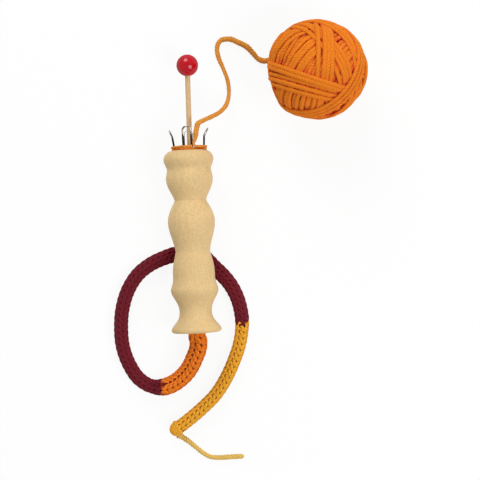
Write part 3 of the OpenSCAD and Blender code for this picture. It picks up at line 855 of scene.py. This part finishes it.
def gathered_end(cord, sizes):
    """The drawn-in end: the yarn spirals over a dome from the last round to its tip.

    The dome is pinched in where a turn of yarn draws the last round together, at a third of its rise.
    """
    middle, along, across, up, _ = (part[0] for part in cord.frames(np.array([cord.reach[-1]])))
    thick = sizes.knit_yarn_d / 2
    fall = np.linspace(0, 1, END_RINGS)
    lift = np.linspace(*END_LIFT, END_RINGS)
    turn = 2 * np.pi * END_TURNS * fall
    dome_r = sizes.cord_end_d / 2 - thick * YARN_FLAT
    pinch = PINCH * np.exp(-((fall - PINCH_AT) / PINCH_WIDTH) ** 2)
    out = np.cos(turn)[:, None] * across + np.sin(turn)[:, None] * up
    centres = middle + (dome_r * (1 - pinch) * np.cos(lift))[:, None] * out
    centres = centres + ((END_LENGTH - thick) * np.sin(lift))[:, None] * along
    way = directions(centres)
    normal = squared(np.cos(lift)[:, None] * out + np.sin(lift)[:, None] * along, way)
    shape = Shape()
    # Painted shade: darker on the yarn's inner side and in the pinch
    painted_side_shade = 1 - END_SHADE + END_SHADE * np.sin(round_angles(KNIT_SIDES))
    painted_light = (END_LIGHT - PINCH_SHADE * pinch)[:, None] * painted_side_shade
    rings = strand_rings(centres, way, normal, thick, thick * YARN_FLAT, KNIT_SIDES)
    shape.add(rings, False, reaches(centres), painted_light)
    rise = np.linspace(0, END_CORE_LIFT, END_CORE_RINGS)
    core = middle + (END_CORE_LONG * END_LENGTH * np.sin(rise))[:, None] * along
    core_r = END_CORE_WIDE * dome_r * np.cos(rise)
    ways = np.broadcast_to(along, core.shape)
    rings = strand_rings(core, ways, np.broadcast_to(up, core.shape), core_r, core_r, CORE_SIDES)
    # The lining is painted in full shade
    shape.add(rings, False, rise, 0.0)
    return shape


# Loose yarn

YARN_STEP = 0.00045
# How far along the loose yarn or the yarn end, and the share of its thickness there
LOOSE_SHARES = (
    (0, 1.1), (0.06, 1.1), (0.1, 0.95), (0.27, 0.95), (0.33, 0.87), (0.47, 0.84), (0.54, 0.98),
    (0.64, 1.06), (0.7, 1.2), (0.76, 1.22), (0.835, 1.08), (0.87, 1.2), (1, 1.2))
# Length of the yarn end's rounding, and how far it is rounded
TAIL_ROUND = 0.0016
TAIL_BLUNT = 0.96
TAIL_SHARES = ((0, 1.25), (0.2, 1.15), (0.45, 0.98), (0.6, 1.08), (0.95, 1.15), (1, 1.0))


class FORK_OT_loose_yarn(bpy.types.Operator):
    """Lay the loose yarn from the hooks to the ball, and the yarn end on the cord"""

    bl_idname = "fork.loose_yarn"
    bl_label = "Loose yarn"

    def execute(self, context):
        sizes = context.scene.fork_sizes
        tints = context.scene.fork_colours
        route = np.array(WORKING_ROUTE) + (0, TOP_Y, 0)
        into = [BALL_MIDDLE + (sizes.ball_d / 2 + gap) * unit(YARN_IN) for gap in YARN_IN_GAPS]
        line = smooth_line(np.vstack([route, into]), YARN_STEP)
        reach = reaches(line) / reaches(line)[-1]
        thick = sizes.loose_yarn_d * np.interp(reach, *zip(*LOOSE_SHARES))
        shape = Shape()
        add_plied_yarn(shape, line, thick, sizes.twist)
        # Painted shade for the loose yarn's ply grooves, a darker copy of its wool
        material = wool("loose_wool", tints.loose_wool, shade(tints.loose_wool, 0.55), sizes.twist)
        piece = shape.piece("loose_yarn", material, "fork", "ball_wool", "working_yarn")
        line = smooth_line(from_foot(TAIL_ROUTE), YARN_STEP)
        shape = Shape()
        reach = reaches(line)
        left = reach[-1] - reach
        thick = sizes.tail_yarn_d * np.interp(reach / reach[-1], *zip(*TAIL_SHARES))
        thick = thick * np.sqrt(1 - np.clip(1 - left / TAIL_ROUND, 0, TAIL_BLUNT) ** 2)
        add_plied_yarn(shape, line, thick, sizes.twist)
        # Painted shade for the yarn end's ply grooves, a darker copy of its wool
        material = wool("end_wool", tints.end_wool, shade(tints.end_wool, 0.28), sizes.twist)
        piece = shape.piece("yarn_end", material, "fork", "yellow_wool", "yarn_tail")
        return {"FINISHED"}


# Ball of wool

# The ball's strand: rings in a turn, sides, height and width as shares, distance between rings, swellings
# along it, how light its painted side shade leaves its sides, and how much darker the painted shade makes
# each layer down
TURN_RINGS = 80
BALL_SIDES = 10
BALL_FLAT = 0.8
BALL_SWELL = 1.08
BALL_STEP = 0.0022
BALL_WAVES = ((0.05, 700), (0.04, 1900))
BALL_LIGHT = 0.5
SUNK_SHADE = 0.19
# Lumps and hollows of the ball: the way out to each, how far it stands out, and its width as a share
BALL_LUMPS = (
    ((-0.72, 0.66, 0.2), 0.0008, 0.45),
    ((0.95, -0.1, 0.1), 0.0006, 0.5),
    ((-0.91, -0.4, 0.0), -0.0032, 0.16),
    ((-0.68, -0.73, 0.0), 0.001, 0.25))
# Pitch of a band in yarn widths, how far past its outer turns it lifts what crosses it, in turns, and
# its wanders as shares of a turn's rise, each with its pace and its phase for each turn of the band
BAND_PITCH = 0.97
BAND_EDGE = 0.3
BAND_WANDERS = ((0.22, 0.37, 1), (0.12, 1.73, 0))
# Thickness of a layer and the angle over which a strand dips under a band, angle and depth of the dive at
# a band's ends, depth and points of the link to the next band, and the most layers a band dips
LAYER = 0.001
RAMP = np.radians(9)
DIVE = np.radians(34)
DIVE_DEPTH = 0.0075
LINK_DEPTH = 0.0095
LINK_POINTS = 6
MOST_LAYERS = 2.3
# Turns under the bands: their number, the angle they cover, and their layers
GROUND_TURNS = 32
GROUND_SPAN = np.radians(168)
GROUND_LAYERS = (0.0, 0.9)
# The heart: its axis, turns, the angle they cover, layers under the rest, its strand's width and height as
# shares of its radius, and sides
HEART_AXIS = (0.3, 0.5, 0.8)
HEART_TURNS = 17
HEART_SPAN = np.radians(170)
HEART_LAYERS = 2.2
HEART_STRAND = (0.1, 0.06)
HEART_SIDES = 8


def band_turns(axis, first, turns, step, beside=0.0):
    """Directions along a band: it goes round its axis and climbs one step a turn, with a slight wander.

    Its middle lies beside the ball's by an angle along the axis.
    """
    turn = np.linspace(0, 2 * np.pi * turns, round(turns * TURN_RINGS) + 1)
    lift = beside + step * (turn / (2 * np.pi) - turns / 2)
    for share, pace, phase in BAND_WANDERS:
        lift = lift + share * step * np.sin(turn * pace + phase * turns)
    start = squared(first, axis)
    level = np.cos(turn)[:, None] * start + np.sin(turn)[:, None] * np.cross(axis, start)
    return turn, np.cos(lift)[:, None] * level + np.sin(lift)[:, None] * axis


def lumps(facing):
    """How far the ball stands out in each direction: a bell curve of the distance to each lump's middle."""
    heights = np.zeros(len(facing))
    for way, height, width in BALL_LUMPS:
        away = np.linalg.norm(facing - unit(np.array(way)), axis=1)
        heights += height * np.exp(-(away / width) ** 2)
    return heights


def wound_ball(sizes):
    """Points along the ball's one strand, from its outer end inwards.

    Each band lies on the surface, and dips a layer under every band further out where the two cross.
    Its ends dive into the ball underneath, where a short arc leads to the next band.
    """
    outer_r = sizes.ball_d / 2 - BALL_FLAT * sizes.ball_yarn_d / 2
    step = BAND_PITCH * sizes.ball_yarn_d / outer_r
    bands = [(unit(np.array(axis)), turns, step, beside) for axis, turns, beside in BALL_BANDS]
    ground = (GROUND_TURNS, GROUND_SPAN / GROUND_TURNS, 0.0)
    bands += [(unit(np.array(axis)), *ground) for axis in GROUND_AXES]
    runs = []
    for k, (axis, turns, rise, beside) in enumerate(bands):
        first = YARN_IN if k == 0 else -UP
        turn, facing = band_turns(axis, first, turns, rise, beside)
        layers = np.zeros(len(facing))
        for other, other_turns, other_rise, other_beside in bands[:min(k, len(BALL_BANDS))]:
            away = np.abs(np.arcsin(facing @ other) - other_beside)
            away -= (other_turns / 2 + BAND_EDGE) * other_rise
            layers += 1 - eased(away / RAMP)
        layers = np.minimum(layers, MOST_LAYERS)
        if k >= len(BALL_BANDS):
            layers += GROUND_LAYERS[k - len(BALL_BANDS)]
        from_end = turn[-1] - turn if k == 0 else np.minimum(turn, turn[-1] - turn)
        depth = layers * LAYER + DIVE_DEPTH * (1 - eased(from_end / DIVE))
        runs.append((outer_r - depth + lumps(facing))[:, None] * facing)
        if k + 1 < len(bands):
            next_axis, *next_winding = bands[k + 1]
            ahead = band_turns(next_axis, -UP, *next_winding)[1][0]
            runs.append((outer_r - LINK_DEPTH) * unit(between(facing[-1], ahead, LINK_POINTS)))
    return BALL_MIDDLE + smooth_line(np.concatenate(runs), BALL_STEP)


class FORK_OT_wool_ball(bpy.types.Operator):
    """Wind the ball of wool"""

    bl_idname = "fork.wool_ball"
    bl_label = "Ball of wool"

    def execute(self, context):
        sizes = context.scene.fork_sizes
        tint = context.scene.fork_colours.ball_wool
        line = wound_ball(sizes)
        half = sizes.ball_yarn_d / 2
        along = directions(line)
        out = squared(line - BALL_MIDDLE, along)
        reach = reaches(line)
        swell = uneven(reach, BALL_WAVES)[:, None]
        rings = strand_rings(line, along, out, BALL_SWELL * half, BALL_FLAT * half, BALL_SIDES, swell)
        depth = sizes.ball_d / 2 - BALL_FLAT * half - np.linalg.norm(line - BALL_MIDDLE, axis=1)
        # Painted shade: darker the deeper a strand lies, and on each strand's inner side
        painted_sunk_shade = SUNK_SHADE * depth[:, None] / LAYER
        painted_light = BALL_LIGHT + (1 - BALL_LIGHT) * np.sin(round_angles(BALL_SIDES)) - painted_sunk_shade
        shape = Shape()
        shape.add(rings, False, reach, np.clip(painted_light, 0, 1))
        # The painted shade's colour: a deep crimson in the grooves and hollows
        material = wool("ball_wool", tint, shade(tint, (0.72, 0.04, 3.4)), sizes.twist)
        piece = shape.piece("wound_yarn", material, "ball", "ball_wool", "ball_winding")
        heart_r = sizes.ball_d / 2 - (MOST_LAYERS + HEART_LAYERS) * LAYER - sizes.ball_yarn_d
        heart_axis = unit(np.array(HEART_AXIS))
        _, facing = band_turns(heart_axis, -UP, HEART_TURNS, HEART_SPAN / HEART_TURNS)
        line = BALL_MIDDLE + heart_r * facing
        wide, high = (heart_r * share for share in HEART_STRAND)
        rings = strand_rings(line, directions(line), facing, wide, high, HEART_SIDES)
        heart = Shape()
        # The heart is painted in full shade
        heart.add(rings, False, reaches(line), 0.0)
        heart.piece("inner_windings", material, "ball", "ball_wool", "ball_core")
        return {"FINISHED"}


# Spool

# The spool: its sides, and the distance or the number of points along each part of its profile
SPOOL_SIDES = 160
SPOOL_STEP = 0.0005
SPOOL_FACE_POINTS = 6
BORE_POINTS = 22
MOUTH_POINTS = 5
# Which points of the CAD spool count as its outside: least radius, and angle from halfway between hooks
OUTER_LEAST_R = 0.0085
BETWEEN_HOOKS = np.radians(14)
# Rounding of the bore's mouths and radius of the bore
MOUTH_EASE = 0.0008
BORE_R = 0.0055


def spool_profile():
    """Heights and radii round the spool's wall, from the foot's mouth outside to the top and down the bore.

    The outside is a smooth curve through the widest points of the CAD spool at each of its heights,
    taken halfway between the hooks, where their holes do not reach.
    """
    mesh = frame["nodes"]["turned_spool"].data
    places = np.empty(len(mesh.vertices) * 3, np.float32)
    mesh.vertices.foreach_get("co", places)
    places = places.reshape(-1, 3)
    radius = np.hypot(places[:, 0], places[:, 2] - AXIS_H)
    turn = np.arctan2(places[:, 2] - AXIS_H, places[:, 0]) % (np.pi / 2)
    outside = (radius > OUTER_LEAST_R) & (np.abs(turn - np.pi / 4) < BETWEEN_HOOKS)
    heights = np.round(places[outside, 1] - FOOT_Y, 5)
    levels = np.unique(heights)
    widest = np.array([radius[outside][heights == level].max() for level in levels])
    outer = smooth_line(np.stack([levels, widest, 0 * levels], axis=1), SPOOL_STEP)[:, :2]
    top = TOP_Y - FOOT_Y
    ease = np.linspace(0, np.pi / 2, MOUTH_POINTS)
    mouth_r = BORE_R + MOUTH_EASE * (1 - np.sin(ease))
    foot_mouth = np.stack([MOUTH_EASE * (1 - np.cos(ease)), mouth_r], axis=1)
    top_mouth = foot_mouth * (-1, 1) + (top, 0)
    bore = between((top - MOUTH_EASE, BORE_R), (MOUTH_EASE, BORE_R), BORE_POINTS)
    foot_face = between((0, mouth_r[0]), (0, outer[0, 1]), SPOOL_FACE_POINTS)
    top_face = between((top, outer[-1, 1]), (top, mouth_r[0]), SPOOL_FACE_POINTS)
    return np.concatenate([foot_mouth[::-1], foot_face, outer, top_face, top_mouth, bore])


class FORK_OT_turned_spool(bpy.types.Operator):
    """Turn the wooden spool with its bore"""

    bl_idname = "fork.turned_spool"
    bl_label = "Turned spool"

    def execute(self, context):
        tint = context.scene.fork_colours.spool_wood
        profile = spool_profile()
        rings = turned_rings(profile, np.array((0, FOOT_Y, AXIS_H)), (0, 1, 0), SPOOL_SIDES)
        shape = Shape()
        shape.add(rings, True, profile[:, 0], 1.0)
        material = turned_wood("spool_wood", tint, grain_scale=120.0, tool_marks=1.2)
        shape.piece("spool", material, "fork", "spool_wood", "turned_spool")
        return {"FINISHED"}


# Hooks

# A hook: its depth in the wood, radius of its bend, straight run after the bend, sides of its wire, and
# how far from its top its painted highlight reaches
HOOK_DEPTH = 0.009
HOOK_BEND_R = 0.005
HOOK_TIP = 0.001
WIRE_SIDES = 18
TIP_HIGHLIGHT_REACH = 0.008


def from_spool(points):
    """Points in the spool's frame, whose Z goes up its axis from the foot and minus Y to the front."""
    return np.stack([points[..., 0], FOOT_Y + points[..., 2], AXIS_H - points[..., 1]], axis=-1)


def turned_about(points, degrees):
    """Points turned about the spool's axis."""
    c, s = np.cos(np.radians(degrees)), np.sin(np.radians(degrees))
    x, y, z = np.moveaxis(points, -1, 0)
    return np.stack([x * c - y * s, x * s + y * c, z], axis=-1)


def both_halves(half):
    """A path and its mirror image across the middle of a hook, as one path."""
    return np.concatenate([half, half[::-1] * (1, -1, 1)])


def hook_line(place, sizes):
    """One hook's wire: two straight legs, an arc outwards on each and half a circle across their tops."""
    turn, lean, bend, circle_r, straight = place
    bend = np.radians(bend)
    half_w = sizes.hook_w / 2
    a = np.linspace(0, bend, 14)
    crown = np.linspace(0, np.pi / 2, 22)[:-1]
    legs = np.linspace(-HOOK_DEPTH, straight, 16)[:-1]
    up = HOOK_TIP + half_w * np.sin(crown)
    bent_out = HOOK_BEND_R * (1 - np.cos(bend))
    bent_up = straight + HOOK_BEND_R * np.sin(bend)
    out = np.concatenate([0 * legs, HOOK_BEND_R * (1 - np.cos(a)), bent_out + up * np.sin(bend)])
    side = np.concatenate([0 * legs + half_w, 0 * a + half_w, half_w * np.cos(crown)])
    rise = np.concatenate([legs, straight + HOOK_BEND_R * np.sin(a), bent_up + up * np.cos(bend)])
    wire = both_halves(np.stack([out, side, rise], axis=1))
    c, s = np.cos(np.radians(lean)), np.sin(np.radians(lean))
    x, y, z = wire.T
    leaning = np.stack([x * c + z * s, y, z * c - x * s], axis=1)
    return from_spool(turned_about(leaning + (circle_r, 0, TOP_Y - FOOT_Y), turn))


class FORK_OT_wire_hooks(bpy.types.Operator):
    """Bend the four wire hooks round the bore"""

    bl_idname = "fork.wire_hooks"
    bl_label = "Wire hooks"

    def execute(self, context):
        sizes = context.scene.fork_sizes
        material = drawn_steel("hook_steel", context.scene.fork_colours.steel)
        for name, place in HOOKS.items():
            line = smooth_line(hook_line(place, sizes), LINE_STEP)
            along = directions(line)
            outward = from_spool(turned_about(np.array((1.0, 0, 0)), place[0])) - from_spool(np.zeros(3))
            facing = squared(np.tile(outward, (len(line), 1)), along)
            rings = strand_rings(line, along, facing, sizes.wire_d / 2, sizes.wire_d / 2, WIRE_SIDES)
            reach = reaches(line)
            from_tip = np.abs(reach - reach[-1] / 2)
            shape = Shape()
            # Painted highlight mask: 1 at the top of the hook, fading over the painted highlight's reach
            shape.add(rings, False, reach, eased((TIP_HIGHLIGHT_REACH - from_tip) / (TIP_HIGHLIGHT_REACH / 2))[:, None])
            shape.piece(f"wire_hook_{name}", material, "fork", "hook_steel", f"hook_{name}")
        return {"FINISHED"}


# Yarn on the hooks

# Yarn on the hooks: its gap to what it lies on, height and width as shares, the length over which the
# laid yarn rises, and its twist as a share
YARN_CLEAR = 0.00012
YARN_PRESS = 0.8
YARN_SPREAD = 1.15
RISING_YARN = 0.006
YARN_TWIST = 0.7
# Where the stitches leave the cord: depth under the top, way out and way aside
CORD_SINK = 0.002
WELL_R = 0.00415
WELL_SIDE = 0.0015


def from_axis(points):
    """The direction from the spool's axis out to each point, with a little of the axis itself."""
    return unit((points - (0, 0, AXIS_H)) * (1, 0, 1)) + (0, 0.05, 0)


def leaning_out(lean, height):
    """How far a leaning leg has gone outwards at a height above the wood."""
    return height * np.tan(np.radians(lean))


def stitch_line(place, sizes):
    """One stitch: up out of the cord, round the outside of its hook and back, as in the part's source."""
    turn, lean, _, circle, _ = place
    lie = sizes.stitch_yarn_d / 2 + YARN_CLEAR
    side = sizes.hook_w / 2 + sizes.wire_d / 2 + lie
    out = circle + sizes.wire_d / 2 + lie
    half = np.array([
        (WELL_R, WELL_SIDE, -CORD_SINK),
        (WELL_R, WELL_SIDE, -CORD_SINK / 3),
        (WELL_R + 0.0005, WELL_SIDE + 0.0003, lie),
        ((WELL_R + circle) / 2 - 0.0003, (WELL_SIDE + side) / 2 + 0.0002, lie + 0.0003),
        (circle - 0.0006, side + 0.00005, lie),
        (circle + 0.0009 + leaning_out(lean, lie), side - 0.00015, lie),
        (out - 0.0001 + leaning_out(lean, lie), sizes.hook_w / 2 + 0.0005, lie),
        (out + 0.00005 + leaning_out(lean, lie), sizes.hook_w / 4, lie)])
    return from_spool(turned_about(both_halves(half) + (0, 0, TOP_Y - FOOT_Y), turn))


def wrap_line(sizes):
    """The yarn laid round the hooks over the stitches, which then rises into the loose yarn."""
    lie = sizes.stitch_yarn_d + 2 * YARN_CLEAR + sizes.wrap_yarn_d / 2
    leg_r = sizes.wire_d / 2 + sizes.wrap_yarn_d / 2 + YARN_CLEAR
    points = []
    for name in ("front", "left", "back", "right"):
        turn, lean, _, circle_r, _ = HOOKS[name]
        for side, angles in ((1, (45, 22.5, 0)), (-1, (0, -22.5, -45))):
            a = np.radians(angles[1:] if not points else angles)
            points.append(turned_about(np.stack([
                circle_r + leaning_out(lean, lie) + leg_r * np.cos(a),
                side * sizes.hook_w / 2 + leg_r * np.sin(a), 0 * a + lie], axis=1), turn))
    points.append(np.array([
        (0.0064, -0.0067, lie), (0.005, -0.0079, lie + 0.0001), (0.0041, -0.0085, lie + 0.0005),
        (0.0038, -0.0087, lie + 0.0016)]))
    first, second = (np.array((x, AXIS_H - z, y)) for x, y, z in WORKING_ROUTE[:2])
    points.append(np.array([first - 0.0024 * unit(second - first), first]))
    return from_spool(np.concatenate(points) + (0, 0, TOP_Y - FOOT_Y))


class FORK_OT_hook_yarn(bpy.types.Operator):
    """Put the stitches on the hooks and lay the yarn round them"""

    bl_idname = "fork.hook_yarn"
    bl_label = "Yarn on the hooks"

    def execute(self, context):
        sizes = context.scene.fork_sizes
        tint = context.scene.fork_colours.orange_wool
        twist = YARN_TWIST * sizes.twist
        # Painted shade for the stitches' ply grooves, a darker copy of the orange
        material = wool("stitch_wool", tint, shade(tint, 0.35), twist)
        for name, place in HOOKS.items():
            shape = Shape()
            line = smooth_line(stitch_line(place, sizes), LINE_STEP)
            add_plied_yarn(
                shape, line, sizes.stitch_yarn_d, twist, from_axis(line), YARN_PRESS, YARN_SPREAD)
            shape.piece(f"loop_{name}", material, "fork", "orange_wool", f"stitch_{name}")
        shape = Shape()
        line = smooth_line(wrap_line(sizes), LINE_STEP)
        left = reaches(line)[-1] - reaches(line)
        pressed = eased(left / RISING_YARN)
        thick = np.interp(left, (0, RISING_YARN), (sizes.loose_yarn_d, sizes.wrap_yarn_d))
        flat = 1 - (1 - YARN_PRESS) * pressed
        spread = 1 + (YARN_SPREAD - 1) * pressed
        add_plied_yarn(shape, line, thick, twist, from_axis(line), flat, spread)
        shape.piece("laid_yarn", bpy.data.materials["loose_wool"], "fork", "orange_wool", "hook_wrap")
        return {"FINISHED"}


# Needle

# The stick's sides, then the head's sides, rings and last angle
STICK_SIDES = 40
HEAD_SIDES = 64
HEAD_RINGS = 48
HEAD_TOP = np.radians(89.5)
# The tip's length, rings, bluntness and roundness, then the shank's rings and where it starts
TIP_LENGTH = 0.007
TIP_RINGS = 14
TIP_BLUNT = 0.06
TIP_ROUND = 0.25
SHANK_RINGS = 40
SHANK_START = 0.008


class FORK_OT_needle(bpy.types.Operator):
    """Turn the needle's stick and its lacquered head"""

    bl_idname = "fork.needle"
    bl_label = "Needle"

    def execute(self, context):
        tints = context.scene.fork_colours
        low, high = (np.array(corner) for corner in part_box("needle_head"))
        head_r = (high[2] - low[2]) / 2
        middle = np.array(((low[0] + high[0]) / 2, high[1] - head_r, AXIS_H))
        stick_low, stick_high = (np.array(corner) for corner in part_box("needle_stick"))
        stick_r = (stick_high[2] - stick_low[2]) / 2
        tip = stick_low[1] - middle[1]
        top = stick_high[1] - middle[1]
        u = np.linspace(0, 1, TIP_RINGS)
        swell = TIP_BLUNT + (1 - TIP_BLUNT) * np.sqrt(u) * (1 - TIP_ROUND + TIP_ROUND * u)
        taper = np.stack([tip + TIP_LENGTH * u, stick_r * swell], axis=1)
        shank = np.linspace((tip + SHANK_START, stick_r), (top, stick_r), SHANK_RINGS)
        shape = Shape()
        profile = np.concatenate([taper, shank])
        shape.add(turned_rings(profile, middle, NEEDLE_ALONG, STICK_SIDES), False, profile[:, 0], 1.0)
        material = turned_wood("stick_wood", tints.stick_wood, grain_scale=210.0, tool_marks=0.4)
        shape.piece("stick", material, "needle", "needle_wood", "needle_stick")
        a = np.linspace(np.arcsin(stick_r / head_r) - np.pi / 2, HEAD_TOP, HEAD_RINGS)
        profile = np.stack([head_r * np.sin(a), head_r * np.cos(a)], axis=1)
        shape = Shape()
        shape.add(turned_rings(profile, middle, NEEDLE_ALONG, HEAD_SIDES), False, profile[:, 0], 1.0)
        material = lacquer("red_lacquer", tints.red_lacquer)
        shape.piece("bead", material, "needle", "red_lacquer", "needle_head")
        return {"FINISHED"}


MAKERS = (
    FORK_OT_stage, FORK_OT_knitted_cord, FORK_OT_loose_yarn, FORK_OT_wool_ball, FORK_OT_turned_spool,
    FORK_OT_wire_hooks, FORK_OT_hook_yarn, FORK_OT_needle)


class FORK_PT_panel(bpy.types.Panel):
    """The fork's pieces, sizes and colours"""

    bl_label = "Knitting fork"
    bl_idname = "FORK_PT_panel"
    bl_space_type = "VIEW_3D"
    bl_region_type = "UI"
    bl_category = "Knitting fork"

    def draw(self, context):
        for maker in MAKERS:
            self.layout.operator(maker.bl_idname)
        for group in (context.scene.fork_sizes, context.scene.fork_colours):
            for name in group.__annotations__:
                self.layout.prop(group, name)


CLASSES = (ForkSizes, ForkColours, *MAKERS, FORK_PT_panel)


def register():
    for kind in CLASSES:
        bpy.utils.register_class(kind)
    bpy.types.Scene.fork_sizes = PointerProperty(type=ForkSizes)
    bpy.types.Scene.fork_colours = PointerProperty(type=ForkColours)


def unregister():
    del bpy.types.Scene.fork_colours
    del bpy.types.Scene.fork_sizes
    for kind in reversed(CLASSES):
        bpy.utils.unregister_class(kind)


def main():
    register()
    bpy.ops.fork.stage()
    bpy.ops.fork.knitted_cord()
    bpy.ops.fork.loose_yarn()
    bpy.ops.fork.wool_ball()
    bpy.ops.fork.turned_spool()
    bpy.ops.fork.wire_hooks()
    bpy.ops.fork.hook_yarn()
    bpy.ops.fork.needle()


if __name__ == "__main__":
    main()
